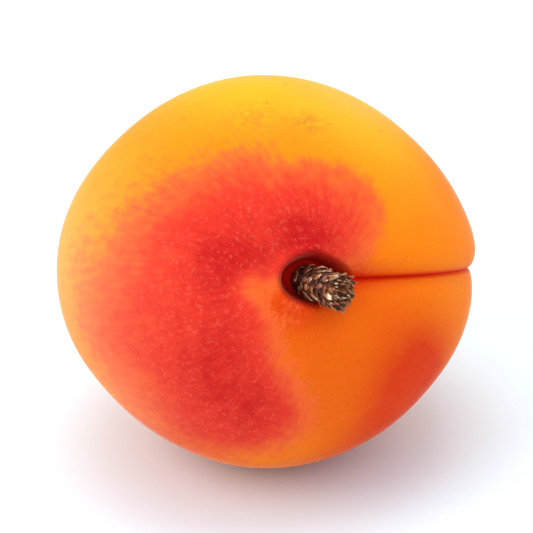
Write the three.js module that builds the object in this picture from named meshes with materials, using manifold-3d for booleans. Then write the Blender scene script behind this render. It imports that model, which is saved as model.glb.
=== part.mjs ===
// A whole ripe apricot with the short woody stalk that it was picked with, lying on its side as it
// settles on a table: the stalk end faces the front (-Y), a little to the right and upwards.
// Millimetres, +Z up. The origin is the middle of the part's outline on the surface it rests on.
//
// The fruit is shaped in a frame of its own, the fruit frame: +Z runs from the tip to the stalk,
// +X points to the suture (the seam between the two cheeks) and +Y to the fuller cheek.
import * as THREE from "three";
import { mergeVertices } from "three/addons/utils/BufferGeometryUtils.js";
import Module from "manifold-3d";

// ---- Driving dimensions of the fruit ----
const LENGTH = 47.5; // from the tip to the shoulders round the stalk, before the hollows
const WIDTH = 49.4; // from the suture to the back
const THICKNESS = 45.2; // from cheek to cheek
const RESTING_DEPTH = 0.6; // how far the skin is pressed flat where the fruit rests

// ---- How it lies, in degrees ----
const TURN = 17; // stalk end turned from straight ahead to the right
const RISE = 26; // stalk end raised above the horizontal
const ROLL = -7; // suture rolled about the fruit's own axis

// ---- Lack of roundness ----
const SHOULDER_TAPER = 0.035; // share by which the stalk end is wider, and the tip end narrower
const FOUR_CORNERS = 0.3; // how far the cross-section's four soft corners stand out
const SUTURE_SHOULDER = -0.9; // how much fuller the stalk end is on the suture side than the tip end is
const CHEEK_SHOULDER = -0.7; // the same on the side of the fuller cheek

// ---- Hollow that the stalk sits in ----
const PIT = { depth: 4.3, radius: 3.9, power: 5, longer: 1.1, shiftX: 0.8, shiftY: -0.5 };
const FUNNEL = { depth: 1.5, radius: 9.5 }; // the wide dip round the pit

// ---- Suture ----
const CREASE = { nearStalk: 2.3, middle: 0.85, tip: 0.25, fadeDeg: 42, middleDeg: 115 };
const CREASE_WIDTH = { fullerCheek: 1.9, flatterCheek: 2.3 }; // how far each cheek rolls down into it
const SWELLING = { height: 0.9, reach: 6.5, start: 1.4, atDeg: 45 }; // fuller cheek beside the crease
const BACK_FURROW = { depth: 0.6, halfWidth: 3, fadeDeg: 35 };
const SUTURE_SOFTNESS = 0.8; // over about four times this the suture starts at the fruit's axis
const FURROW_SOFTNESS = 1.5; // and the furrow on the back likewise

// ---- Tip ----
const TIP_DIMPLE = { depth: 0.35, radius: 6 };
const TIP_POINT = { height: 0.45, radius: 1.3 };

// ---- Stalk ----
const STALK = {
  length: 7.6,
  baseRadius: 1.7,
  endRadius: 2.2,
  rings: 6, // scars of the bud scales
  ringHeight: 0.22,
  lean: THREE.MathUtils.degToRad(6), // off the fruit's axis at its foot
  bend: THREE.MathUtils.degToRad(20), // further turn between foot and end
  leanTowards: THREE.MathUtils.degToRad(-32), // from the suture round to the flatter cheek
  foot: { x: 0.5, y: -0.35 }, // where its foot stands in the pit
};
const STALK_GAP = 0.65; // between the stalk's foot and the floor of the pit

// ---- Fineness of the faceted surfaces ----
const FRUIT_SEGMENTS = 64;
const FRUIT_RINGS = 46;
const SUTURE_CROWDING = 0.75; // share by which segments crowd towards the suture
const STALK_CROWDING = 1.35; // power by which rings crowd towards the stalk end
const STALK_SEGMENTS = 20;
const STEPS_PER_RING = 4;

// ---- Powers of a smooth hump ----
const CUSP = 1; // comes to a sharp edge at its middle
const BELL = 2;
const PLATEAU = 4; // stays level, then falls steeply

const MERGE_DISTANCE = 1e-3; // corners nearer than this are one corner

const wasm = await Module();
wasm.setup();

/** 1 where x is 0, falling smoothly to 0 a little past reach; a higher power falls more steeply. */
const hump = (x, reach, power = BELL) => Math.exp(-(Math.abs(x / reach) ** power));

/** 0 well below x = 0 and 1 well above it, changing over about 4 softness. */
const sideOf = (x, softness) => 1 / (1 + Math.exp(-x / softness));

/** How deep the suture's crease is at an angle from the stalk end, in degrees. */
function creaseDepth(polarDeg) {
  const middle = (CREASE.middle - CREASE.tip) * hump(polarDeg, CREASE.middleDeg, PLATEAU);
  const stalkEnd = (CREASE.nearStalk - CREASE.middle) * hump(polarDeg, CREASE.fadeDeg);
  return CREASE.tip + middle + stalkEnd;
}

/** Height of the skin above the plain rounded body, in mm: d is a direction and p that body's point. */
function relief(d, p) {
  const round = Math.hypot(d.x, d.y);
  const azimuth = Math.atan2(d.y, d.x);
  const polarDeg = THREE.MathUtils.radToDeg(Math.atan2(round, d.z));
  const fromAxis = Math.hypot(p.x, p.y);

  let height = FOUR_CORNERS * round ** 4 * Math.cos(4 * azimuth);
  height += 2 * d.z * (SUTURE_SHOULDER * d.x + CHEEK_SHOULDER * d.y);

  let outsidePit = 1;
  if (d.z > 0) {
    const fromPit = Math.hypot((p.x - PIT.shiftX) / PIT.longer, p.y - PIT.shiftY);
    outsidePit -= hump(fromPit, PIT.radius, PIT.power);
    height -= PIT.depth * (1 - outsidePit);
    height -= FUNNEL.depth * hump(fromAxis, FUNNEL.radius);
  } else {
    height -= TIP_DIMPLE.depth * hump(fromAxis, TIP_DIMPLE.radius);
    height += TIP_POINT.height * hump(fromAxis, TIP_POINT.radius);
  }

  const sutureSide = outsidePit * sideOf(p.x, SUTURE_SOFTNESS);
  const creaseWidth = p.y > 0 ? CREASE_WIDTH.fullerCheek : CREASE_WIDTH.flatterCheek;
  height -= sutureSide * creaseDepth(polarDeg) * hump(p.y, creaseWidth, CUSP);
  if (p.y > 0) {
    const besideCrease = (1 - hump(p.y, SWELLING.start, CUSP)) * hump(p.y, SWELLING.reach);
    const alongSuture = hump(polarDeg - SWELLING.atDeg, SWELLING.atDeg);
    height += sutureSide * SWELLING.height * besideCrease * alongSuture;
  }

  const backSide = outsidePit * sideOf(-p.x, FURROW_SOFTNESS);
  const furrow = BACK_FURROW.depth * hump(p.y, BACK_FURROW.halfWidth) * hump(polarDeg, BACK_FURROW.fadeDeg);
  return height - backSide * furrow;
}

/** The point of the skin in a direction from the fruit's middle, in the fruit frame. */
function skinPoint(direction) {
  const wider = 1 + SHOULDER_TAPER * direction.z;
  const body = new THREE.Vector3(
    (direction.x * WIDTH * wider) / 2,
    (direction.y * THICKNESS * wider) / 2,
    (direction.z * LENGTH) / 2,
  );
  return body.clone().addScaledVector(direction, relief(direction, body));
}

/** A sphere's direction turned so that segments crowd to the suture and rings to the stalk end. */
function crowded(direction) {
  const azimuth = Math.atan2(direction.y, direction.x);
  const share = Math.acos(THREE.MathUtils.clamp(direction.z, -1, 1)) / Math.PI;
  const turned = azimuth - SUTURE_CROWDING * Math.sin(azimuth);
  const polar = Math.PI * share ** STALK_CROWDING;
  return new THREE.Vector3(
    Math.sin(polar) * Math.cos(turned),
    Math.sin(polar) * Math.sin(turned),
    Math.cos(polar),
  );
}

/** Moves every vertex of a geometry by a function of its place. */
function reshape(geometry, move) {
  const position = geometry.getAttribute("position");
  const point = new THREE.Vector3();
  for (let i = 0; i < position.count; i++) {
    const moved = move(point.fromBufferAttribute(position, i));
    position.setXYZ(i, moved.x, moved.y, moved.z);
  }
  return geometry;
}

/** A closed geometry as a solid that can be cut. */
function solidOf(geometry) {
  const bare = new THREE.BufferGeometry()
    .setAttribute("position", geometry.getAttribute("position"))
    .setIndex(geometry.getIndex());
  const merged = mergeVertices(bare, MERGE_DISTANCE);
  const mesh = new wasm.Mesh({
    numProp: 3,
    vertProperties: merged.getAttribute("position").array,
    triVerts: new Uint32Array(merged.getIndex().array),
  });
  return new wasm.Manifold(mesh);
}

/** A solid as a geometry with flat-shaded normals. */
function geometryOf(solid) {
  const mesh = solid.getMesh();
  const geometry = new THREE.BufferGeometry()
    .setAttribute("position", new THREE.BufferAttribute(mesh.vertProperties, 3))
    .setIndex(new THREE.BufferAttribute(mesh.triVerts, 1))
    .toNonIndexed();
  geometry.computeVertexNormals();
  return geometry;
}

/** The turn from the fruit frame to the way the apricot lies. */
function lyingTurn() {
  const turn = new THREE.Matrix4().makeRotationZ(THREE.MathUtils.degToRad(TURN));
  const tilt = new THREE.Matrix4().makeRotationX(THREE.MathUtils.degToRad(90 - RISE));
  const roll = new THREE.Matrix4().makeRotationZ(THREE.MathUtils.degToRad(ROLL));
  return turn.multiply(tilt).multiply(roll);
}

/** Cuts a geometry off flat at a height above its lowest point. */
function pressedFlat(geometry, depth) {
  geometry.computeBoundingBox();
  const { min, max } = geometry.boundingBox;
  const size = 2 * (max.x - min.x);
  const table = new THREE.BoxGeometry(size, size, size).translate(0, 0, min.z + depth - size / 2);
  return geometryOf(solidOf(geometry).subtract(solidOf(table)));
}

/** The fruit's flesh and skin in one piece, turned as it lies, about its own middle. */
function fruitGeometry(lying) {
  const sphere = new THREE.SphereGeometry(1, FRUIT_SEGMENTS, FRUIT_RINGS).rotateX(Math.PI / 2);
  const fruit = reshape(sphere, (point) => skinPoint(crowded(point)));
  return pressedFlat(fruit.applyMatrix4(lying), RESTING_DEPTH);
}

/** The stalk's outline from foot to end, ringed by the scars of its bud scales. */
function stalkProfile() {
  const steps = STALK.rings * STEPS_PER_RING;
  const profile = [new THREE.Vector2(0, 0)];
  for (let i = 0; i <= steps; i++) {
    const share = i / steps;
    const body = THREE.MathUtils.lerp(STALK.baseRadius, STALK.endRadius, share);
    const ring = STALK.ringHeight * Math.abs(Math.sin(Math.PI * STALK.rings * share));
    profile.push(new THREE.Vector2(body + ring, share * STALK.length));
  }
  profile.push(new THREE.Vector2(0, STALK.length));
  return profile;
}

/** Bends a point of a straight stalk along +Z into an arc that turns towards +X. */
function bent(point) {
  const radius = STALK.length / STALK.bend;
  const angle = point.z / radius;
  const fromCentre = radius - point.x;
  return new THREE.Vector3(radius - fromCentre * Math.cos(angle), point.y, fromCentre * Math.sin(angle));
}

/** The woody stalk, standing in the pit and turned as the apricot lies. */
function stalkGeometry(lying) {
  const floor = skinPoint(new THREE.Vector3(0, 0, 1)).z;
  const straight = new THREE.LatheGeometry(stalkProfile(), STALK_SEGMENTS).rotateX(Math.PI / 2);
  return reshape(straight, bent)
    .rotateY(STALK.lean)
    .rotateZ(STALK.leanTowards)
    .translate(STALK.foot.x, STALK.foot.y, floor + STALK_GAP + STALK.baseRadius * Math.sin(STALK.lean))
    .applyMatrix4(lying);
}

const apricotSkin = new THREE.MeshStandardMaterial({ color: "#f79a1c", roughness: 0.62, metalness: 0 });
const stalkBark = new THREE.MeshStandardMaterial({ color: "#6b4a2f", roughness: 0.85, metalness: 0 });

const lying = lyingTurn();
const fruit = new THREE.Mesh(fruitGeometry(lying), apricotSkin);
fruit.name = "fruit";
const stalk = new THREE.Mesh(stalkGeometry(lying), stalkBark);
stalk.name = "stalk";

const apricot = new THREE.Group();
apricot.add(fruit, stalk);

// Stands the part on the surface, in the middle of its outline.
const outline = new THREE.Box3().setFromObject(apricot);
const middle = outline.getCenter(new THREE.Vector3());
for (const piece of [fruit, stalk]) piece.position.set(-middle.x, -middle.y, -outline.min.z);

export default apricot;
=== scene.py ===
"""A ripe apricot with its woody stalk, at rest on a pale studio table.

The scene is in metres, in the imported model's frame, with +Z up. The fruit and its stalk are shaped in
millimetres in a frame of their own, the fruit frame: +Z runs from the tip to the stalk, +X points to
the suture (the seam between the two cheeks) and +Y to the fuller cheek.
"""

import logging
import math
import random
from dataclasses import dataclass
from enum import Enum
from functools import cached_property

import bmesh
import bpy
from mathutils import Matrix, Vector, noise


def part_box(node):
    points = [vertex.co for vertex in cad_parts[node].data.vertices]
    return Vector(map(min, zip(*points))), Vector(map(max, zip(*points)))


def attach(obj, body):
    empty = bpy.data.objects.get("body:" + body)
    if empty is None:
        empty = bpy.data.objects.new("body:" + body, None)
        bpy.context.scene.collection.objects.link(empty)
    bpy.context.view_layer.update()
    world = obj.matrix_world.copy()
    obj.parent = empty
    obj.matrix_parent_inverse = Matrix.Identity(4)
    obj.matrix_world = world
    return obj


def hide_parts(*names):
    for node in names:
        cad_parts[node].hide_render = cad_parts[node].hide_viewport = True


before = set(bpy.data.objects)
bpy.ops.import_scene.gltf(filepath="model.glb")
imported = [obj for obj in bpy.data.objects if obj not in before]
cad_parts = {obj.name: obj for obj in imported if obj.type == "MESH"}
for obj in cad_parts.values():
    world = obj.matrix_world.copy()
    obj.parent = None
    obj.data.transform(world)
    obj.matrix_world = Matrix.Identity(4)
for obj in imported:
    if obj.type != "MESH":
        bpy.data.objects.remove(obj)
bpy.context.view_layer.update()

MM = 0.001
ROOT_BODY = "root"
FRUIT_NODE = "fruit"
STALK_NODE = "stalk"
MERIDIAN_PLACE = "meridian_place"  # vector attribute for marks that run from stalk to tip

MIX_FACTOR, MIX_A, MIX_B, MIX_RESULT = 0, 6, 7, 2  # sockets of a Mix node that mixes colours

log = logging.getLogger("apricot")


class Falloff(Enum):
    """How steeply a smooth hump falls: the power in its exponent."""

    CUSP = 1
    BELL = 2
    PLATEAU = 4
    SHELF = 7
    WALL = 20


class SkinMask(Enum):
    """The skin's point attributes, which its material reads."""

    BLUSH = "blush"
    GOLD = "gold"
    # deeper orange: partly the skin's own, partly painted shade on the lower side and near the stalk
    DEEP_AND_SHADE = "deep_orange_and_shade"
    # painted shade: the red line in the suture's crease
    SEAM = "seam"
    # painted shade: the deep red in the stalk's hollow
    HOLLOW_SHADE = "hollow"
    # painted sheen: where a pale painted highlight lies
    BLOOM = "painted_sheen"
    SCUFF = "scuff"
    SCAR = "style_scar"


class Grain(Enum):
    """The skin's noise patterns: how large they are in mm, and how many octaves of detail."""

    CLOUDS = (7.0, 3.0)
    MOTTLE = (1.3, 2.0)
    STREAKS = (0.8, 2.0)  # across them; they run from stalk to tip
    STIPPLE = (0.45, 1.0)
    DOWN = (0.2, 2.0)  # tufts of down; single hairs are about 0.02 mm thick, too fine to show


class BarkMask(Enum):
    """The stalk's point attributes, which its material reads."""

    GRAIN = "grain_place"
    TIP = "tip"
    TONE = "tone"
    AGE = "age"


def hump(x: float, reach: float, falloff: Falloff = Falloff.BELL) -> float:
    """Gives 1 where x is 0, falling smoothly to 0 a little past reach.

    Args:
        x: distance from the hump's middle.
        reach: distance at which the hump has fallen to 0.37.
        falloff: how steeply it falls there.

    Returns:
        The hump's height, from 0 to 1.
    """
    return math.exp(-(abs(x / reach) ** falloff.value))


def side_of(x: float, softness: float) -> float:
    """Gives 0 well below x = 0 and 1 well above it, changing over about 4 softness."""
    return 1 / (1 + math.exp(-x / softness))


def clamp01(x: float) -> float:
    """Keeps a number between 0 and 1."""
    return min(1.0, max(0.0, x))


def direction_from(round_deg: float, from_stalk_deg: float) -> Vector:
    """Gives a direction in the fruit frame.

    Args:
        round_deg: angle round the fruit's axis, from the suture towards the fuller cheek.
        from_stalk_deg: angle from the stalk, 0 at the stalk and 180 at the tip.

    Returns:
        The unit vector from the fruit's middle.
    """
    azimuth = math.radians(round_deg)
    polar = math.radians(from_stalk_deg)
    return Vector(
        (math.sin(polar) * math.cos(azimuth), math.sin(polar) * math.sin(azimuth), math.cos(polar))
    )


def linear(hex_colour: str) -> tuple[float, float, float, float]:
    """Turns an sRGB hex colour such as "#f79a1c" into linear RGBA, by the standard's own curve."""
    shares = [int(hex_colour[i : i + 2], 16) / 255 for i in (1, 3, 5)]
    red, green, blue = (s / 12.92 if s <= 0.04045 else ((s + 0.055) / 1.055) ** 2.4 for s in shares)
    return red, green, blue, 1.0


def add_node(
    tree: bpy.types.NodeTree, kind: str, inputs: dict[str | int, object] | None = None, **settings: object
) -> bpy.types.Node:
    """Adds a node with its settings, and sets or links its inputs.

    Args:
        tree: the node tree that gets the node.
        kind: the node's type name.
        inputs: each input's name or number, with its value or the output socket that feeds it.
        **settings: the node's own properties.

    Returns:
        The new node.
    """
    node = tree.nodes.new(kind)
    for name, value in settings.items():
        setattr(node, name, value)
    for key, value in (inputs or {}).items():
        if isinstance(value, bpy.types.NodeSocket):
            tree.links.new(value, node.inputs[key])
        else:
            node.inputs[key].default_value = value
    return node


def new_material(name: str) -> tuple[bpy.types.Material, bpy.types.NodeTree]:
    """Makes a material without nodes, and gives it with its node tree."""
    material = bpy.data.materials.new(name)
    material.use_nodes = True
    material.node_tree.nodes.clear()
    return material, material.node_tree


@dataclass(frozen=True)
class Glaze:
    """A thin colour laid over what is below it, where a pattern says.

    Attributes:
        colour: its sRGB hex colour.
        pattern: the pattern that it follows.
        start: the pattern's value where it begins.
        end: the pattern's value where it is complete.
        most: its share there.
        easing: how it grows in between.
    """

    colour: str
    pattern: bpy.types.NodeSocket
    start: float = 0.0
    end: float = 1.0
    most: float | bpy.types.NodeSocket = 1.0
    easing: str = "SMOOTHSTEP"

    def over(self, tree: bpy.types.NodeTree, below: bpy.types.NodeSocket) -> bpy.types.NodeSocket:
        """Lays the glaze over a colour.

        Args:
            tree: the material's node tree.
            below: the colour below it.

        Returns:
            The socket of the colour that shows.
        """
        share = add_node(
            tree,
            "ShaderNodeMapRange",
            {"Value": self.pattern, "From Min": self.start, "From Max": self.end, "To Max": self.most},
            interpolation_type=self.easing,
        ).outputs["Result"]
        return add_node(
            tree,
            "ShaderNodeMix",
            {MIX_FACTOR: share, MIX_A: below, MIX_B: linear(self.colour)},
            data_type="RGBA",
        ).outputs[MIX_RESULT]


def finished_object(name: str, bm: bmesh.types.BMesh, material: bpy.types.Material) -> bpy.types.Object:
    """Turns a bmesh into a smooth-shaded object at the origin, and frees the bmesh.

    Args:
        name: name of the object and of its mesh.
        bm: the shape, in metres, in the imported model's frame.
        material: its material.

    Returns:
        The object, linked to the scene.
    """
    for face in bm.faces:
        face.smooth = True
    mesh = bpy.data.meshes.new(name)
    bm.to_mesh(mesh)
    bm.free()
    mesh.materials.append(material)
    thing = bpy.data.objects.new(name, mesh)
    bpy.context.scene.collection.objects.link(thing)
    return thing


@dataclass(frozen=True)
class Patch:
    """A soft-edged patch on the skin, round in shape.

    Attributes:
        round_deg: angle round the fruit's axis, from the suture towards the fuller cheek.
        from_stalk_deg: angle from the stalk.
        reach_deg: the patch's radius, as an angle at the fruit's middle.
        strength: the patch's height in its middle.
        falloff: how steeply its edge falls.
    """

    round_deg: float
    from_stalk_deg: float
    reach_deg: float
    strength: float = 1.0
    falloff: Falloff = Falloff.BELL

    @cached_property
    def middle(self) -> Vector:
        """The direction of the patch's middle in the fruit frame."""
        return direction_from(self.round_deg, self.from_stalk_deg)

    def at(self, direction: Vector) -> float:
        """Gives the patch's strength in a direction from the fruit's middle."""
        cosine = max(-1.0, min(1.0, direction.dot(self.middle)))
        return self.strength * hump(math.degrees(math.acos(cosine)), self.reach_deg, self.falloff)


@dataclass(frozen=True)
class Lie:
    """How the apricot lies, in degrees.

    Attributes:
        turn: the stalk end's turn from straight ahead to the right.
        rise: the stalk end's height above the horizontal.
        roll: the suture's roll about the fruit's own axis.
    """

    turn: float = 17.0
    rise: float = 26.0
    roll: float = -7.0

    def matrix(self) -> Matrix:
        """Gives the turn from the fruit frame to the way the apricot lies."""
        return (
            Matrix.Rotation(math.radians(self.turn), 4, "Z")
            @ Matrix.Rotation(math.radians(90 - self.rise), 4, "X")
            @ Matrix.Rotation(math.radians(self.roll), 4, "Z")
        )


@dataclass(frozen=True)
class FruitShape:
    """The form of the skin, in millimetres in the fruit frame."""

    # The plain rounded body
    length: float = 47.5
    width: float = 49.4
    thickness: float = 45.2
    shoulder_taper: float = 0.035
    four_corners: float = 0.3
    suture_shoulder: float = -0.9
    cheek_shoulder: float = -0.7

    # The hollow that the stalk sits in, longer along the suture than across it and narrowing towards it
    pit_depth: float = 4.6
    pit_along: float = 4.55
    pit_across: float = 3.2
    pit_shift_x: float = 0.25
    pit_shift_y: float = 0.1
    pit_taper: float = 0.45
    lip_height: float = 0.3
    lip_place: float = 1.2
    lip_width: float = 0.14
    funnel_depth: float = 1.3
    funnel_radius: float = 9.5

    # The suture: a broad valley with a tight crease at its bottom
    valley_near_stalk: float = 2.0
    valley_middle: float = 0.8
    valley_tip: float = 0.25
    valley_fade_deg: float = 42.0
    valley_middle_deg: float = 115.0
    valley_fuller_width: float = 1.7
    valley_flatter_width: float = 2.3
    crease_depth: float = 0.22
    crease_tip_depth: float = 0.06
    crease_width: float = 0.26
    crease_fade_deg: float = 95.0
    swelling_height: float = 0.9
    swelling_reach: float = 6.5
    swelling_start: float = 1.4
    swelling_deg: float = 45.0
    suture_softness: float = 0.8

    # The furrow down the back
    furrow_depth: float = 0.6
    furrow_half_width: float = 3.0
    furrow_fade_deg: float = 35.0
    furrow_softness: float = 1.5

    # The tip
    tip_dimple_depth: float = 0.35
    tip_dimple_radius: float = 6.0
    tip_point_height: float = 0.45
    tip_point_radius: float = 1.3

    # Slow unevenness of grown flesh
    unevenness: float = 0.13
    unevenness_size: float = 9.0

    def body_point(self, direction: Vector) -> Vector:
        """Gives the point of the plain rounded body in a direction from the fruit's middle."""
        wider = 1 + self.shoulder_taper * direction.z
        return Vector(
            (
                direction.x * self.width * wider / 2,
                direction.y * self.thickness * wider / 2,
                direction.z * self.length / 2,
            )
        )

    def pit_distance(self, direction: Vector, body: Vector) -> float:
        """Gives the distance from the stalk's hollow, 0 in its middle, 1 at its edge and large behind.

        Args:
            direction: a unit vector in the fruit frame.
            body: the rounded body's point in that direction.

        Returns:
            The distance, as a share of the hollow's own size.
        """
        if direction.z <= 0:
            return math.inf
        along = (body.x - self.pit_shift_x) / self.pit_along
        across = (body.y - self.pit_shift_y) / self.pit_across * (1 + self.pit_taper * max(0.0, along))
        return math.hypot(along, across)

    def valley_depth(self, polar_deg: float) -> float:
        """Gives the suture's depth at an angle from the stalk, in degrees.

        Args:
            polar_deg: the angle from the stalk.

        Returns:
            The depth in mm.
        """
        towards_middle = hump(polar_deg, self.valley_middle_deg, Falloff.PLATEAU)
        towards_stalk = hump(polar_deg, self.valley_fade_deg)
        middle = (self.valley_middle - self.valley_tip) * towards_middle
        stalk_end = (self.valley_near_stalk - self.valley_middle) * towards_stalk
        return self.valley_tip + middle + stalk_end

    def crease_depth_at(self, polar_deg: float) -> float:
        """Gives the crease's depth at an angle from the stalk, in degrees."""
        before_tip = hump(polar_deg, self.crease_fade_deg, Falloff.PLATEAU)
        return self.crease_tip_depth + (self.crease_depth - self.crease_tip_depth) * before_tip

    def suture_relief(self, body: Vector, polar_deg: float) -> float:
        """Gives the suture's height above the rounded body, with the fuller cheek that swells beside it.

        Args:
            body: the rounded body's point.
            polar_deg: its angle from the stalk.

        Returns:
            The height in mm.
        """
        if body.y > 0:
            valley_width = self.valley_fuller_width
        else:
            valley_width = self.valley_flatter_width
        height = -self.valley_depth(polar_deg) * hump(body.y, valley_width, Falloff.CUSP)
        height -= self.crease_depth_at(polar_deg) * hump(body.y, self.crease_width)
        if body.y > 0:
            beside = 1 - hump(body.y, self.swelling_start, Falloff.CUSP)
            beside *= hump(body.y, self.swelling_reach)
            along = hump(polar_deg - self.swelling_deg, self.swelling_deg)
            height += self.swelling_height * beside * along
        return height

    def end_relief(self, direction: Vector, body: Vector, pit_distance: float) -> float:
        """Gives the height of the hollow and its lip at the stalk end, or of the small point at the tip.

        Args:
            direction: a unit vector in the fruit frame.
            body: the rounded body's point in that direction.
            pit_distance: its distance from the stalk's hollow.

        Returns:
            The height above the body in mm.
        """
        from_axis = math.hypot(body.x, body.y)
        if direction.z > 0:
            pit = self.pit_depth * hump(pit_distance, 1.0, Falloff.WALL)
            lip = self.lip_height * hump(pit_distance - self.lip_place, self.lip_width)
            lip *= side_of(-body.x, self.suture_softness)
            return lip - pit - self.funnel_depth * hump(from_axis, self.funnel_radius)
        dimple = self.tip_dimple_depth * hump(from_axis, self.tip_dimple_radius)
        return self.tip_point_height * hump(from_axis, self.tip_point_radius) - dimple

    def skin_point(self, direction: Vector) -> Vector:
        """Gives the point of the skin in a direction from the fruit's middle.

        Args:
            direction: a unit vector in the fruit frame.

        Returns:
            The point in the fruit frame, in millimetres.
        """
        body = self.body_point(direction)
        roundness = math.hypot(direction.x, direction.y)
        azimuth = math.atan2(direction.y, direction.x)
        polar_deg = math.degrees(math.atan2(roundness, direction.z))
        pit_distance = self.pit_distance(direction, body)
        pit = hump(pit_distance, 1.0, Falloff.WALL)

        height = self.four_corners * roundness**4 * math.cos(4 * azimuth)
        height += 2 * direction.z * (self.suture_shoulder * direction.x + self.cheek_shoulder * direction.y)
        height += self.end_relief(direction, body, pit_distance)
        suture_side = (1 - pit) * side_of(body.x, self.suture_softness)
        height += suture_side * self.suture_relief(body, polar_deg)
        back_side = (1 - pit) * side_of(-body.x, self.furrow_softness)
        furrow = hump(body.y, self.furrow_half_width) * hump(polar_deg, self.furrow_fade_deg)
        height -= back_side * self.furrow_depth * furrow
        height += (1 - pit) * self.unevenness * noise.noise(body / self.unevenness_size)
        return body + direction * height


@dataclass(frozen=True)
class SkinPatterns:
    """What the skin's colour is worked out from.

    Attributes:
        tree: the material's node tree.
        masks: the skin's attributes.
        grains: noise about 0.5.
        place: the place on the skin, in millimetres.
    """

    tree: bpy.types.NodeTree
    masks: dict[SkinMask, bpy.types.NodeSocket]
    grains: dict[Grain, bpy.types.NodeSocket]
    place: bpy.types.NodeSocket


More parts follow.
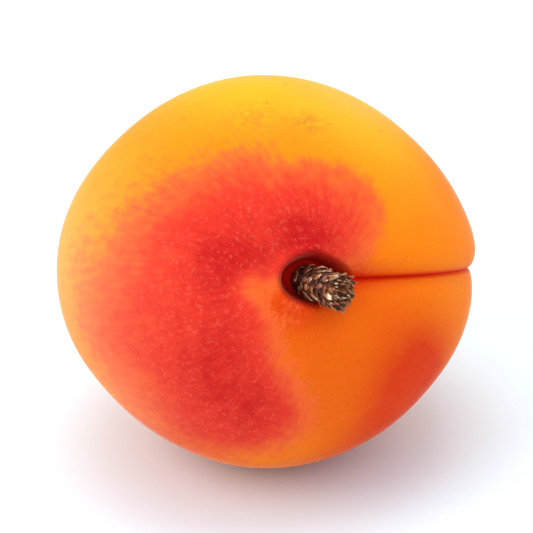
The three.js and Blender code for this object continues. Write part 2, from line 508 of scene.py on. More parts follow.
@dataclass(frozen=True)
class ApricotSkin:
    """Skin of a ripe apricot, velvety with short down and blushed red where the sun reached it.

    It gives the eye a golden to orange ground, a stippled red blush over it, a soft grain with no
    hard highlight, a little light through the flesh, and a pale sheen at grazing angles. Some of its colour
    is painted light: a pale painted sheen, painted glints among the dots, and painted shade in the hollow,
    along the suture and on the lower side.
    """

    gold: str = "#f3ab18"
    orange: str = "#f57e06"
    # deeper orange: partly the skin's own, partly painted shade
    deep_orange_and_shade: str = "#d43602"
    gold_unevenness: float = 0.5
    deep_and_shade_unevenness: float = 0.3

    # The blush's colours, and how strong it is where each begins and where it is complete
    blush_depths: tuple[tuple[str, float, float], ...] = (
        ("#e65e28", 0.1, 0.48),
        ("#d83222", 0.36, 0.88),
        ("#bc1416", 0.85, 1.3),
    )
    # How much each grain breaks up the blush's edges
    blush_breakup: tuple[tuple[Grain, float], ...] = (
        (Grain.CLOUDS, 0.4),
        (Grain.STREAKS, 0.32),
        (Grain.MOTTLE, 0.36),
        (Grain.STIPPLE, 0.3),
    )

    # pale dots: partly lenticels, partly painted glints where light catches tufts of down
    pale_dot_and_glint: str = "#f28468"
    dark_dot: str = "#a01218"
    fleck: str = "#d85a1c"
    scuff: str = "#b47a1e"
    # painted shade: red of the line in the suture's crease
    seam: str = "#d61806"
    # painted shade: the deep red inside the stalk's hollow
    hollow: str = "#c61604"
    scar: str = "#6e4a20"
    # pale colour of the painted sheen, a painted highlight
    painted_sheen: str = "#ffc9a4"
    down: str = "#fff0de"

    dots_off_blush: float = 0.05  # strength of the dots
    dots_on_blush: float = 0.2
    pale_dot_and_glint_grain: tuple[float, float] = (0.5, 0.8)  # stipple where the dots begin and are complete
    dark_dot_grain: tuple[float, float] = (0.5, 0.25)
    fleck_spacing: float = 2.8  # mm between the lone red flecks
    fleck_radius: float = 0.2  # mm
    scuff_share: float = 0.12  # share of the mottle's range that the thin curls of a scuff take
    streak_stretch: float = 4.5  # a streak's length over its width

    roughness: tuple[float, float] = (0.52, 0.72)
    refraction: float = 1.4
    gloss: float = 0.08
    flesh_glow: float = 0.1  # share of light that passes through the flesh
    flesh_depth: float = 1.0  # mm
    flesh_reach: tuple[float, float, float] = (1.0, 0.35, 0.12)  # red, green and blue, of that depth
    sheen: float = 0.42
    sheen_roughness: float = 0.15
    # How much of its height each grain's relief shows, and that height in mm
    reliefs: tuple[tuple[Grain, float, float], ...] = (
        (Grain.MOTTLE, 0.25, 0.12),
        (Grain.DOWN, 0.55, 0.08),
    )

    def material(self) -> bpy.types.Material:
        """Builds the material.

        Returns:
            The material, which reads the attributes of SkinMask.
        """
        material, tree = new_material("apricot_skin_downy_ripe")
        masks = {
            mask: add_node(tree, "ShaderNodeAttribute", attribute_name=mask.value).outputs["Fac"]
            for mask in SkinMask
        }
        object_place = add_node(tree, "ShaderNodeTexCoord").outputs["Object"]
        place = add_node(
            tree, "ShaderNodeMapping", {"Vector": object_place, "Scale": (1 / MM,) * 3}
        ).outputs["Vector"]
        meridian_place = add_node(
            tree, "ShaderNodeAttribute", attribute_name=MERIDIAN_PLACE
        ).outputs["Vector"]
        drawn_out = add_node(
            tree, "ShaderNodeMapping", {"Vector": meridian_place, "Scale": (1, 1, 1 / self.streak_stretch)}
        ).outputs["Vector"]
        grains = {}
        for grain in Grain:
            size, detail = grain.value
            source = drawn_out if grain is Grain.STREAKS else place
            grains[grain] = add_node(
                tree, "ShaderNodeTexNoise", {"Vector": source, "Scale": 1 / size, "Detail": detail}
            ).outputs["Fac"]

        patterns = SkinPatterns(tree, masks, grains, place)
        ground = self.ground_colour(patterns)
        blushed = self.blushed_colour(patterns, ground)
        colour = self.marked_colour(patterns, blushed)
        smoothest, roughest = self.roughness
        roughness = add_node(
            tree,
            "ShaderNodeMapRange",
            {"Value": grains[Grain.MOTTLE], "To Min": smoothest, "To Max": roughest},
        ).outputs["Result"]
        relief = {}
        for grain, share, height in self.reliefs:
            bump = {"Height": grains[grain], "Strength": share, "Distance": height * MM, **relief}
            relief = {"Normal": add_node(tree, "ShaderNodeBump", bump).outputs["Normal"]}
        shader = add_node(
            tree,
            "ShaderNodeBsdfPrincipled",
            {
                "Base Color": colour,
                "Roughness": roughness,
                "IOR": self.refraction,
                "Specular IOR Level": self.gloss,
                "Subsurface Weight": self.flesh_glow,
                "Subsurface Radius": self.flesh_reach,
                "Subsurface Scale": self.flesh_depth * MM,
                "Sheen Weight": self.sheen,
                "Sheen Roughness": self.sheen_roughness,
                "Sheen Tint": linear(self.down),
                **relief,
            },
        )
        add_node(tree, "ShaderNodeOutputMaterial", {"Surface": shader.outputs["BSDF"]})
        return material

    def ground_colour(self, patterns: SkinPatterns) -> bpy.types.NodeSocket:
        """Builds the ground colour under the blush: orange, ripening to gold, and a deeper orange that is
        partly the skin's own and partly painted shade.

        Args:
            patterns: what it is worked out from.

        Returns:
            The colour's socket.
        """
        tree = patterns.tree
        clouds = patterns.grains[Grain.CLOUDS]
        colour = add_node(tree, "ShaderNodeRGB").outputs["Color"]
        colour.default_value = linear(self.orange)
        for mask, layer, unevenness in (
            (SkinMask.GOLD, self.gold, self.gold_unevenness),
            (SkinMask.DEEP_AND_SHADE, self.deep_orange_and_shade, self.deep_and_shade_unevenness),
        ):
            uneven = add_node(
                tree,
                "ShaderNodeMath",
                {0: clouds, 1: unevenness, 2: patterns.masks[mask]},
                operation="MULTIPLY_ADD",
            ).outputs["Value"]
            middle = unevenness / 2
            colour = Glaze(layer, uneven, middle, 1 + middle, easing="LINEAR").over(tree, colour)
        return colour

    def blushed_colour(
        self, patterns: SkinPatterns, ground: bpy.types.NodeSocket
    ) -> bpy.types.NodeSocket:
        """Lays the red blush over the ground colour, in three depths with broken edges.

        Args:
            patterns: what it is worked out from.
            ground: the ground colour.

        Returns:
            The colour's socket.
        """
        tree = patterns.tree
        broken = patterns.masks[SkinMask.BLUSH]
        for grain, share in self.blush_breakup:
            broken = add_node(
                tree,
                "ShaderNodeMath",
                {0: patterns.grains[grain], 1: share, 2: broken},
                operation="MULTIPLY_ADD",
            ).outputs["Value"]
        grain_middle = sum(share for _, share in self.blush_breakup) / 2
        colour = ground
        for layer, start, end in self.blush_depths:
            colour = Glaze(layer, broken, start + grain_middle, end + grain_middle).over(tree, colour)
        return colour

    def marked_colour(
        self, patterns: SkinPatterns, blushed: bpy.types.NodeSocket
    ) -> bpy.types.NodeSocket:
        """Adds the painted sheen, dots in the down (the pale ones partly painted glints), red flecks,
        scuffs, the painted shade of the suture's line and of the hollow, and the tip's scar.

        Args:
            patterns: what they are worked out from.
            blushed: the blushed colour.

        Returns:
            The colour's socket.
        """
        tree, masks = patterns.tree, patterns.masks
        stipple = patterns.grains[Grain.STIPPLE]
        dot_strength = add_node(
            tree,
            "ShaderNodeMapRange",
            {"Value": masks[SkinMask.BLUSH], "To Min": self.dots_off_blush, "To Max": self.dots_on_blush},
        ).outputs["Result"]
        fleck_distance = add_node(
            tree, "ShaderNodeTexVoronoi", {"Vector": patterns.place, "Scale": 1 / self.fleck_spacing}
        ).outputs["Distance"]
        fleck_edge = self.fleck_radius / self.fleck_spacing
        curls = add_node(
            tree,
            "ShaderNodeMath",
            {0: patterns.grains[Grain.MOTTLE], 1: 0.5, 2: self.scuff_share / 2},
            operation="COMPARE",
        ).outputs["Value"]
        glazes = (
            # painted sheen: a pale painted highlight
            Glaze(self.painted_sheen, masks[SkinMask.BLOOM], easing="LINEAR"),
            # pale dots, partly painted glints of down
            Glaze(self.pale_dot_and_glint, stipple, *self.pale_dot_and_glint_grain, most=dot_strength),
            Glaze(self.dark_dot, stipple, *self.dark_dot_grain, most=dot_strength),
            Glaze(self.scuff, curls, most=masks[SkinMask.SCUFF]),
            Glaze(self.fleck, fleck_distance, fleck_edge, fleck_edge / 2, most=masks[SkinMask.GOLD]),
            # painted shade in the suture's crease
            Glaze(self.seam, masks[SkinMask.SEAM], easing="LINEAR"),
            # painted shade in the stalk's hollow
            Glaze(self.hollow, masks[SkinMask.HOLLOW_SHADE], easing="LINEAR"),
            Glaze(self.scar, masks[SkinMask.SCAR], easing="LINEAR"),
        )
        colour = blushed
        for glaze in glazes:
            colour = glaze.over(tree, colour)
        return colour


@dataclass(frozen=True)
class StalkBark:
    """Dry bark of a short fruit spur, grown in rings of bud scales.

    It gives the eye a rough brown barrel with dark gaps, tan fibres along it, pale cream edges where
    the scales have weathered, and here and there a mauve or an olive scale.
    """

    gap: str = "#220e06"
    bark: str = "#6c341a"
    fibre: str = "#aa6c44"
    weathered: str = "#f0d6b0"
    mauve: str = "#8e5c56"
    olive: str = "#94804a"

    fibre_width: float = 0.16  # mm across a fibre
    fibre_length: float = 1.2  # mm along it
    fibre_contrast: float = 0.9
    fibre_relief: float = 0.8  # share of its height that shows
    fibre_height: float = 0.15  # mm
    tip_paleness: float = 0.65  # how much paler a scale is at its tip
    roughness: float = 0.85
    gloss: float = 0.3

    def material(self) -> bpy.types.Material:
        """Builds the material.

        Returns:
            The material, which reads the attributes of BarkMask.
        """
        material, tree = new_material("apricot_wood_bark_weathered")
        grain_place = add_node(
            tree, "ShaderNodeAttribute", attribute_name=BarkMask.GRAIN.value
        ).outputs["Vector"]
        tip, tone, age = (
            add_node(tree, "ShaderNodeAttribute", attribute_name=mask.value).outputs["Fac"]
            for mask in (BarkMask.TIP, BarkMask.TONE, BarkMask.AGE)
        )
        across = 1 / self.fibre_width
        stretched = add_node(
            tree,
            "ShaderNodeMapping",
            {"Vector": grain_place, "Scale": (across, across, 1 / self.fibre_length)},
        ).outputs["Vector"]
        fibres = add_node(
            tree, "ShaderNodeTexNoise", {"Vector": stretched, "Scale": 1.0, "Detail": 3.0}
        ).outputs["Fac"]
        lift = add_node(
            tree, "ShaderNodeMath", {0: tip, 1: self.tip_paleness, 2: tone}, operation="MULTIPLY_ADD"
        ).outputs["Value"]
        weathering = add_node(
            tree, "ShaderNodeMath", {0: fibres, 1: self.fibre_contrast, 2: lift}, operation="MULTIPLY_ADD"
        ).outputs["Value"]
        colour = add_node(tree, "ShaderNodeRGB").outputs["Color"]
        colour.default_value = linear(self.gap)
        for glaze in (
            Glaze(self.bark, weathering, 0.35, 0.6),
            Glaze(self.fibre, weathering, 0.65, 0.95),
            Glaze(self.mauve, age, 0.65, 0.75, most=0.5),
            Glaze(self.olive, age, 0.88, 0.94, most=0.45),
            Glaze(self.weathered, weathering, 1.1, 1.4),
        ):
            colour = glaze.over(tree, colour)
        bump = add_node(
            tree,
            "ShaderNodeBump",
            {"Height": fibres, "Strength": self.fibre_relief, "Distance": self.fibre_height * MM},
        ).outputs["Normal"]
        shader = add_node(
            tree,
            "ShaderNodeBsdfPrincipled",
            {
                "Base Color": colour,
                "Roughness": self.roughness,
                "Specular IOR Level": self.gloss,
                "Normal": bump,
            },
        )
        add_node(tree, "ShaderNodeOutputMaterial", {"Surface": shader.outputs["BSDF"]})
        return material


@dataclass
class Fruit:
    """The apricot itself: skin over flesh and stone, in one piece. Sizes are in mm."""

    shape: FruitShape
    lie: Lie
    finish: ApricotSkin

    # Steps round the axis and from stalk to tip, and how often each is divided in two
    segments: int = 85
    rings: int = 70
    divisions: int = 2
    suture_crowding: float = 0.75  # share by which segments crowd towards the suture
    stalk_crowding: float = 1.35  # power by which rings crowd towards the stalk end
    resting_depth: float = 0.6  # how far the skin is pressed flat where it rests
    pressed_edge: float = 0.12  # softness of the flat spot's edge

    # The red blush, laid on like glazes, and where it is deepest, added on top
    blush_patches: tuple[Patch, ...] = (
        Patch(160, 25, 24, 0.9),
        Patch(122, 30, 15, 0.4),
        Patch(-165, 46, 28, 0.72),
        Patch(-145, 34, 18, 0.6),
        Patch(-119, 43, 20, 0.8, Falloff.PLATEAU),
        Patch(74, 22, 16.5, 0.45, Falloff.SHELF),
        Patch(100, 10, 13, 0.8),
        Patch(-125, 66, 25, 0.5),
    )
    crimson_patches: tuple[Patch, ...] = (
        Patch(160, 27, 14, 0.22),
        Patch(-178, 24, 9, 0.12),
        Patch(-145, 32, 10, 0.2),
        Patch(-118, 42, 11, 0.22),
        Patch(100, 13, 10, 0.4),
    )
    # A pale painted sheen over the skin: painted highlight where light glances off the down
    painted_sheen_patches: tuple[Patch, ...] = (
        Patch(-178, 86, 28, 0.2),
        Patch(-140, 74, 16, 0.09),
        Patch(70, 75, 14, 0.08),
    )
    # Where the blush leaves the orange ground bare beside the stalk
    wedge_patches: tuple[Patch, ...] = (
        Patch(-176, 18, 4, 0.55),
        Patch(-158, 12, 6, 0.75),
        Patch(-64, 21, 19, 0.95, Falloff.PLATEAU),
    )
    # Where the ground ripened golden, on the shaded side, and where it is deep orange, partly its own
    # colour and partly painted shade
    gold_patches: tuple[Patch, ...] = (
        Patch(82, 80, 36, 0.95, Falloff.PLATEAU),
        Patch(50, 50, 16, 0.4),
        Patch(160, 100, 40, 0.6),
        Patch(60, 150, 60, 0.7, Falloff.PLATEAU),
    )
    # partly the skin's own deeper orange, partly painted shade: beside the stalk and the hollow and on the
    # lower side
    deep_orange_and_shade_patches: tuple[Patch, ...] = (
        Patch(-66, 28, 30, 0.5, Falloff.PLATEAU),
        Patch(-145, 14, 9, 0.5),
        Patch(20, 10, 4.5, 0.6),
        Patch(92, 48, 7, 0.15),
        Patch(-40, 48, 15, 0.6),
        Patch(-36, 58, 20, 0.35, Falloff.CUSP),
        Patch(-58, 74, 26, 0.7, Falloff.PLATEAU),
        Patch(-90, 110, 40, 0.3),
    )
    # Where twigs rubbed the skin brown
    scuff_patches: tuple[Patch, ...] = (
        Patch(104, 55, 7, 0.6),
        Patch(86, 52, 5, 0.75),
        Patch(-30, 95, 7, 0.4),
        Patch(150, 130, 6, 0.4),
    )

    # Painted shade in the suture: a red line in its crease, and deeper orange painted along it
    seam_shade_half_width: float = 0.35
    seam_shade_strength: float = 0.95
    seam_painted_shade_half_width: float = 1.1
    seam_painted_shade: float = 0.35
    seam_painted_shade_reach_deg: float = 75.0  # from the stalk

    # Painted shade in and around the stalk's hollow: where its deep red ends, and where the deeper orange
    # around it ends, as shares of the hollow's own size
    hollow_shade_edge: float = 1.06
    hollow_painted_shade_edge: float = 1.5
    hollow_painted_shade: float = 0.6
    scar_radius_deg: float = 2.2  # of the flower's scar at the tip

    def crowded(self, direction: Vector) -> Vector:
        """Turns a sphere's direction so that steps crowd to the suture and to the stalk end.

        Args:
            direction: a unit vector to a point of the evenly stepped sphere.

        Returns:
            The direction in the fruit frame.
        """
        azimuth = math.atan2(direction.y, direction.x)
        share = math.acos(max(-1.0, min(1.0, direction.z))) / math.pi
        turned = azimuth - self.suture_crowding * math.sin(azimuth)
        polar = math.pi * share**self.stalk_crowding
        return direction_from(math.degrees(turned), math.degrees(polar))

    def masks_at(self, direction: Vector) -> dict[SkinMask, float]:
        """Works out the skin's attributes in a direction from the fruit's middle.

        Args:
            direction: a unit vector in the fruit frame.

        Returns:
            Each attribute's value, from 0 to 1, or a little over 1 where the blush is deepest.
        """
        body = self.shape.body_point(direction)
        pit_distance = self.shape.pit_distance(direction, body)
        from_stalk_deg = math.degrees(math.atan2(math.hypot(direction.x, direction.y), direction.z))
        suture_side = side_of(body.x, self.shape.suture_softness)
        bare = 1.0
        for patch in self.blush_patches:
            bare *= 1 - patch.at(direction)
        blush = 1 - bare
        blush += sum(patch.at(direction) for patch in self.crimson_patches)
        for patch in self.wedge_patches:
            blush *= 1 - patch.at(direction)
        # deeper orange: partly the skin's own, partly painted shade
        deep_and_shade = sum(patch.at(direction) for patch in self.deep_orange_and_shade_patches)
        # painted shade: deeper orange along the suture, near the stalk
        seam_shade_band = suture_side * hump(body.y, self.seam_painted_shade_half_width)
        deep_and_shade += self.seam_painted_shade * seam_shade_band * hump(from_stalk_deg, self.seam_painted_shade_reach_deg)
        # painted shade: deeper orange round the stalk's hollow
        deep_and_shade += self.hollow_painted_shade * hump(pit_distance, self.hollow_painted_shade_edge)
        # painted shade: the red line in the crease
        seam = self.seam_shade_strength * suture_side * hump(body.y, self.seam_shade_half_width)
        seam *= self.shape.crease_depth_at(from_stalk_deg) / self.shape.crease_depth
        return {
            SkinMask.BLUSH: blush,
            SkinMask.GOLD: clamp01(sum(patch.at(direction) for patch in self.gold_patches)),
            SkinMask.DEEP_AND_SHADE: clamp01(deep_and_shade),
            SkinMask.SEAM: clamp01(seam),
            SkinMask.HOLLOW_SHADE: hump(pit_distance, self.hollow_shade_edge, Falloff.WALL),
            SkinMask.BLOOM: sum(patch.at(direction) for patch in self.painted_sheen_patches),
            SkinMask.SCUFF: clamp01(sum(patch.at(direction) for patch in self.scuff_patches)),
            SkinMask.SCAR: Patch(0, 180, self.scar_radius_deg).at(direction),
        }

    def meridian_place(self, direction: Vector) -> Vector:
        """Gives a place for marks from stalk to tip, in mm: across them in X and Y, and along them in Z.

        Args:
            direction: a unit vector in the fruit frame.

        Returns:
            The place.
        """
        radius = self.shape.width / 2
        across = Vector((direction.x, direction.y)).normalized() * radius
        along = radius * math.atan2(math.hypot(direction.x, direction.y), direction.z)
        return Vector((across.x, across.y, along))

    def placing(self, bm: bmesh.types.BMesh) -> Matrix:
        """Presses the turned fruit flat underneath and finds where it stands.

        Args:
            bm: the fruit, turned as it lies, in millimetres about its own middle. It is pressed flat.

        Returns:
            The matrix from the turned fruit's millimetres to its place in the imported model's frame.
        """
        floor = min(vert.co.z for vert in bm.verts) + self.resting_depth
        for vert in bm.verts:
            over = (vert.co.z - floor) / self.pressed_edge
            vert.co.z = floor + self.pressed_edge * math.log1p(math.exp(over))
        low = Vector(min(vert.co[i] for vert in bm.verts) for i in range(3))
        high = Vector(max(vert.co[i] for vert in bm.verts) for i in range(3))
        box_low, box_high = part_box(FRUIT_NODE)
        shift = (box_low + box_high) / 2 - (low + high) / 2 * MM
        shift.z = box_low.z - low.z * MM
        return Matrix.Translation(shift) @ Matrix.Scale(MM, 4)

    def build(self) -> tuple[bpy.types.Object, Matrix]:
        """Builds the fruit and its skin's attributes.

        Returns:
            The finished object, and the matrix from the fruit frame's millimetres to the scene.
        """
        bm = bmesh.new()
        bmesh.ops.create_uvsphere(bm, u_segments=self.segments, v_segments=self.rings, radius=1.0)
        for _ in range(self.divisions):
            bmesh.ops.subdivide_edges(bm, edges=bm.edges, cuts=1, use_grid_fill=True)
        layers = {mask: bm.verts.layers.float.new(mask.value) for mask in SkinMask}
        meridian = bm.verts.layers.float_vector.new(MERIDIAN_PLACE)
        turn = self.lie.matrix()
        for vert in bm.verts:
            direction = self.crowded(vert.co.normalized())
            vert[meridian] = self.meridian_place(direction)
            for mask, value in self.masks_at(direction).items():
                vert[layers[mask]] = value
            vert.co = turn @ self.shape.skin_point(direction)
        placing = self.placing(bm)
        bmesh.ops.transform(bm, matrix=placing, verts=bm.verts)
        fruit = finished_object("fruit_skin", bm, self.finish.material())
        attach(fruit, ROOT_BODY)
        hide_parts(FRUIT_NODE)
        return fruit, placing @ turn


def mark_bark(bm: bmesh.types.BMesh, vert: bmesh.types.BMVert, tip: float, tone: float, age: float) -> None:
    """Sets the attributes of one of the stalk's vertices."""
    for mask, value in ((BarkMask.TIP, tip), (BarkMask.TONE, tone), (BarkMask.AGE, age)):
        vert[bm.verts.layers.float[mask.value]] = value


@dataclass
class Stalk:
    """The short woody stalk, a barrel of old bud scales with a broken end. Sizes are in mm.

    A pair holds the least and the greatest value, unless its comment says otherwise.
    """

    finish: StalkBark
    shape: FruitShape  # the fruit that it stands in

    # The barrel, from its foot in the hollow's floor to its broken end
    length: float = 8.5
    foot_radius: float = 1.55
    end_radius: float = 1.8
    lean_deg: float = 8.0  # off the fruit's axis, at the foot
    bend_deg: float = 19.0  # further turn between foot and end
    lean_towards_deg: float = -27.0  # from the suture towards the fuller cheek
    foot_x: float = -0.35  # towards the suture
    foot_y: float = -0.15  # towards the fuller cheek
    sunk: float = 0.4  # how deep the foot is set into the floor

    # The rows of bud scales
    rings: int = 10
    scales_per_ring: int = 11
    scale_length: tuple[float, float] = (0.55, 1.4)
    scale_width: tuple[float, float] = (0.5, 1.2)
    scale_lift: tuple[float, float] = (0.08, 0.42)  # of its tip, off the barrel
    scale_skew: float = 0.3  # greatest turn of its tip to either side
    scale_narrowing: tuple[float, float] = (0.35, 0.8)  # share of its width lost towards its tip
    scale_curl: float = 1.5  # power by which it lifts towards its tip
    scale_gap: float = 0.05  # between its base and the barrel
    scale_thickness: float = 0.11
    scale_keel: float = 0.07  # height of the ridge along its middle
    first_row: float = 0.3
    rows_end: float = 0.8  # from the last row to the broken end
    row_chance: tuple[float, float] = (0.45, 0.35)  # greatest shift round and along, in steps
    scale_shade: tuple[float, float] = (-0.3, 0.35)
    fringe: float = 1.35  # how much larger the scales of the last two rows are

    # The splinters in the broken end
    fibres: int = 90
    fibre_size: tuple[float, float] = (0.6, 1.3)
    fibre_radii: tuple[float, float] = (0.2, 0.06)  # at its base and at its tip
    fibre_tilt: float = 0.4  # greatest lean either way, in radians
    fibre_shade: tuple[float, float] = (-0.25, 0.4)
    seed: int = 11  # of the random differences

    def radius_at(self, height: float) -> float:
        """Gives the barrel's radius at a height above the foot."""
        share = clamp01(height / self.length)
        return self.foot_radius + (self.end_radius - self.foot_radius) * share

    def add_barrel(self, bm: bmesh.types.BMesh) -> None:
        """Spins the barrel's ringed outline about its axis and roughens it."""
        sides = 48
        steps_per_ring = 6
        ledge = 0.16
        end_hollow = 0.3
        crack_depth = 0.14
        crack_size = Vector((0.45, 0.45, 2.0))
        steps = self.rings * steps_per_ring
        outline = [bm.verts.new((0, 0, 0))]
        for i in range(steps + 1):
            height = self.length * i / steps
            in_ring = (i % steps_per_ring) / steps_per_ring
            outline.append(bm.verts.new((self.radius_at(height) + ledge * in_ring, 0, height)))
        outline.append(bm.verts.new((0, 0, self.length - end_hollow)))
        edges = [bm.edges.new(pair) for pair in zip(outline, outline[1:])]
        bmesh.ops.spin(
            bm,
            geom=outline + edges,
            cent=(0, 0, 0),
            axis=(0, 0, 1),
            angle=math.tau,
            steps=sides,
            use_merge=True,
        )
        bmesh.ops.remove_doubles(bm, verts=bm.verts, dist=0.001)
        for vert in bm.verts:
            outwards = Vector((vert.co.x, vert.co.y, 0)).normalized()
            place = Vector(co / size for co, size in zip(vert.co, crack_size))
            vert.co += outwards * crack_depth * noise.noise(place)

    def add_scale(
        self, bm: bmesh.types.BMesh, height: float, angle: float, growth: float, chance: random.Random
    ) -> list[bmesh.types.BMVert]:
        """Adds one bud scale: a thin keeled plate that wraps the barrel and lifts at its narrow tip.

        Args:
            bm: the stalk, straight along +Z.
            height: of the scale's base.
            angle: round the barrel, in radians.
            growth: its size as a share of the usual one.
            chance: source of the differences between scales.

        Returns:
            The scale's vertices.
        """
        length = chance.uniform(*self.scale_length) * growth
        width = chance.uniform(*self.scale_width)
        lift = chance.uniform(*self.scale_lift) * growth
        skew = chance.uniform(-self.scale_skew, self.scale_skew)
        narrowing = chance.uniform(*self.scale_narrowing)
        grid = bmesh.ops.create_grid(bm, x_segments=4, y_segments=4, size=0.5)
        for vert in grid["verts"]:
            across, along = vert.co.x, vert.co.y + 0.5
            top = height + length * along
            keel = self.scale_keel * (1 - 4 * across**2)
            radius = self.radius_at(top) + self.scale_gap + keel + lift * along**self.scale_curl
            reach = width * (1 - narrowing * along**2)
            turned = angle + (across * reach + skew * along) / radius
            vert.co = Vector((radius * math.cos(turned), radius * math.sin(turned), top))
        return grid["verts"]

    def add_scales(self, bm: bmesh.types.BMesh) -> None:
        """Adds the rows of bud scales, which overlap towards the broken end."""
        chance = random.Random(self.seed)
        spacing = (self.length - self.first_row - self.rows_end) / (self.rings - 1)
        most_round, most_along = self.row_chance
        plates = []
        for ring in range(self.rings):
            growth = self.fringe if ring >= self.rings - 2 else 1.0
            for k in range(self.scales_per_ring):
                step = k + (ring % 2) / 2 + chance.uniform(-most_round, most_round)
                height = self.first_row + spacing * (ring + chance.uniform(-most_along, most_along))
                shade = chance.uniform(*self.scale_shade)
                grown = chance.random()
                angle = math.tau * step / self.scales_per_ring
                verts = self.add_scale(bm, height, angle, growth, chance)
                for vert in verts:
                    mark_bark(bm, vert, clamp01((vert.co.z - height) / self.scale_length[1]), shade, grown)
                plates += {face for vert in verts for face in vert.link_faces}
        bmesh.ops.solidify(bm, geom=plates, thickness=self.scale_thickness)

    def add_fibres(self, bm: bmesh.types.BMesh) -> None:
        """Adds the splintered fibres of the broken end."""
        sunk = 0.2
        sides = 5
        paleness = 0.6
        base_radius, tip_radius = self.fibre_radii
        chance = random.Random(self.seed + 1)
        for _ in range(self.fibres):
            from_axis = self.end_radius * math.sqrt(chance.random())
            angle = chance.uniform(0, math.tau)
            depth = chance.uniform(*self.fibre_size)
            tilt = Matrix.Rotation(chance.uniform(-self.fibre_tilt, self.fibre_tilt), 4, "X")
            tilt @= Matrix.Rotation(chance.uniform(-self.fibre_tilt, self.fibre_tilt), 4, "Y")
            middle = self.length - sunk + depth / 5
            place = Vector((from_axis * math.cos(angle), from_axis * math.sin(angle), middle))
            cone = bmesh.ops.create_cone(
                bm,
                cap_ends=True,
                segments=sides,
                radius1=base_radius,
                radius2=tip_radius,
                depth=depth,
                matrix=Matrix.Translation(place) @ tilt,
            )
            shade = chance.uniform(*self.fibre_shade)
            grown = chance.random()
            for vert in cone["verts"]:
                mark_bark(bm, vert, paleness, shade, grown)

    def bent(self, point: Vector) -> Vector:
        """Bends a point of the straight stalk into an arc that turns towards +X.

        Args:
            point: a point of the straight stalk.

        Returns:
            Its place on the bent stalk.
        """
        radius = self.length / math.radians(self.bend_deg)
        angle = point.z / radius
        from_centre = radius - point.x
        return Vector((radius - from_centre * math.cos(angle), point.y, from_centre * math.sin(angle)))

    def build(self, fruit_to_scene: Matrix) -> bpy.types.Object:
        """Builds the stalk where it stands in the fruit's hollow.

        Args:
            fruit_to_scene: the matrix from the fruit frame's millimetres to the scene.

        Returns:
            The finished object.
        """
        bm = bmesh.new()
        for mask in (BarkMask.TIP, BarkMask.TONE, BarkMask.AGE):
            bm.verts.layers.float.new(mask.value)
        self.add_barrel(bm)
        self.add_scales(bm)
        self.add_fibres(bm)
        bmesh.ops.recalc_face_normals(bm, faces=bm.faces)
        grain = bm.verts.layers.float_vector.new(BarkMask.GRAIN.value)
        for vert in bm.verts:
            vert[grain] = vert.co
            vert.co = self.bent(vert.co)
        floor = self.shape.skin_point(Vector((0, 0, 1))).z
        stand = (
            Matrix.Translation((self.foot_x, self.foot_y, floor - self.sunk))
            @ Matrix.Rotation(math.radians(self.lean_towards_deg), 4, "Z")
            @ Matrix.Rotation(math.radians(self.lean_deg), 4, "Y")
        )
        bmesh.ops.transform(bm, matrix=fruit_to_scene @ stand, verts=bm.verts)
        stalk = finished_object("stalk_spur", bm, self.finish.material())
        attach(stalk, ROOT_BODY)
        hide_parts(STALK_NODE)
        return stalk


@dataclass(frozen=True)
class Softbox:
    """A square studio light with a wide, even face."""

    name: str
    place: tuple[float, float, float]  # metres
    size: float  # its side, in metres
    watts: float

    def build(self, target: Vector) -> None:
        """Adds the light, pointing at the target.

        Args:
            target: the middle of the fruit.
        """
        lamp = bpy.data.lights.new(self.name, "AREA")
        lamp.size = self.size
        lamp.energy = self.watts
        light = bpy.data.objects.new(self.name, lamp)
        light.location = self.place
        light.rotation_euler = (target - light.location).to_track_quat("-Z", "Y").to_euler()
        bpy.context.scene.collection.objects.link(light)


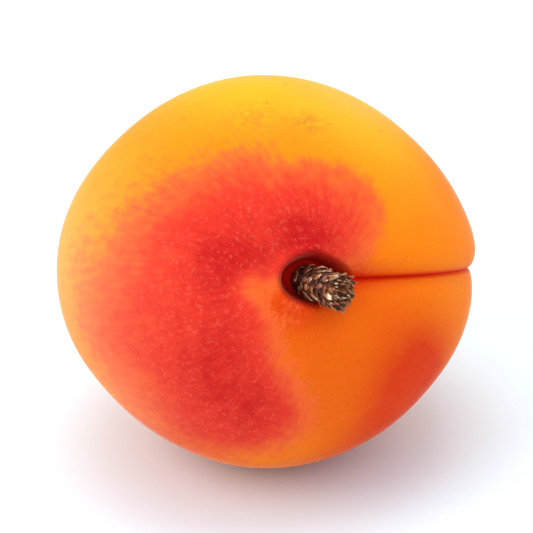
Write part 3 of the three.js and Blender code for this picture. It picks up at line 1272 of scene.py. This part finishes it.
@dataclass
class Studio:
    """The plain pale table, the soft light and the camera. Sizes are in metres."""

    floor_size: float = 4.0
    floor_tones: tuple[str, str] = ("#dfecf3", "#e2eff5")
    world_colour: str = "#f6faff"
    world_strength: float = 1.16
    softboxes: tuple[Softbox, ...] = (
        Softbox("left_softbox", (-0.40, -0.20, 0.35), size=0.4, watts=1.2),
        Softbox("overhead_softbox", (0.0, 0.05, 0.5), size=0.3, watts=0.7),
    )
    elevation_deg: float = 30.0  # the camera's height above the horizon
    distance: float = 0.6  # from the camera to the fruit
    frame_width: float = 0.0625  # of what the camera sees at the fruit
    sensor_mm: float = 36.0

    def floor_material(self) -> bpy.types.Material:
        """Matt white laminate: a pale even ground with a barely uneven tone."""
        material, tree = new_material("laminate_matt_white")
        patches_per_metre = 30.0
        roughness = 0.7
        darker, lighter = (linear(tone) for tone in self.floor_tones)
        place = add_node(tree, "ShaderNodeTexCoord").outputs["Object"]
        tone = add_node(
            tree, "ShaderNodeTexNoise", {"Vector": place, "Scale": patches_per_metre}
        ).outputs["Fac"]
        colour = add_node(
            tree,
            "ShaderNodeMix",
            {MIX_FACTOR: tone, MIX_A: darker, MIX_B: lighter},
            data_type="RGBA",
        ).outputs[MIX_RESULT]
        shader = add_node(
            tree, "ShaderNodeBsdfPrincipled", {"Base Color": colour, "Roughness": roughness}
        )
        add_node(tree, "ShaderNodeOutputMaterial", {"Surface": shader.outputs["BSDF"]})
        return material

    def build_floor(self) -> None:
        """Builds the table top at the height that the fruit rests at."""
        bm = bmesh.new()
        bmesh.ops.create_grid(bm, x_segments=1, y_segments=1, size=self.floor_size / 2)
        bmesh.ops.translate(bm, vec=(0, 0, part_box(FRUIT_NODE)[0].z), verts=bm.verts)
        floor = finished_object("table_top", bm, self.floor_material())

    def build_world(self) -> None:
        """Surrounds the table with plain, slightly cool white light."""
        world = bpy.data.worlds.new("white_surroundings")
        world.use_nodes = True
        background = world.node_tree.nodes["Background"]
        background.inputs["Color"].default_value = linear(self.world_colour)
        background.inputs["Strength"].default_value = self.world_strength
        bpy.context.scene.world = world
        bpy.context.scene.view_settings.view_transform = "Standard"

    def build_camera(self, target: Vector) -> None:
        """Adds the camera, looking down on the target from the front.

        Args:
            target: the middle of the fruit.
        """
        elevation = math.radians(self.elevation_deg)
        towards_viewer = Vector((0, -math.cos(elevation), math.sin(elevation)))
        lens = bpy.data.cameras.new("camera")
        lens.sensor_width = self.sensor_mm
        lens.lens = self.sensor_mm * self.distance / self.frame_width
        camera = bpy.data.objects.new("camera", lens)
        camera.location = target + towards_viewer * self.distance
        camera.rotation_euler = (-towards_viewer).to_track_quat("-Z", "Y").to_euler()
        bpy.context.scene.collection.objects.link(camera)
        bpy.context.scene.camera = camera

    def build(self) -> None:
        """Builds the table, the lights and the camera."""
        low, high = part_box(FRUIT_NODE)
        middle = Vector((0, 0, (low.z + high.z) / 2))
        self.build_floor()
        self.build_world()
        for softbox in self.softboxes:
            softbox.build(middle)
        self.build_camera(middle)


def report(thing: bpy.types.Object) -> None:
    """Logs a finished piece with its number of vertices."""
    log.info("%s: %d vertices", thing.name, len(thing.data.vertices))


def main() -> None:
    """Builds the fruit, its stalk and the studio."""
    logging.basicConfig(level=logging.INFO)
    Studio().build()
    shape = FruitShape()
    fruit, fruit_to_scene = Fruit(shape, Lie(), ApricotSkin()).build()
    report(fruit)
    stalk = Stalk(StalkBark(), shape).build(fruit_to_scene)
    report(stalk)


if __name__ == "__main__":
    main()
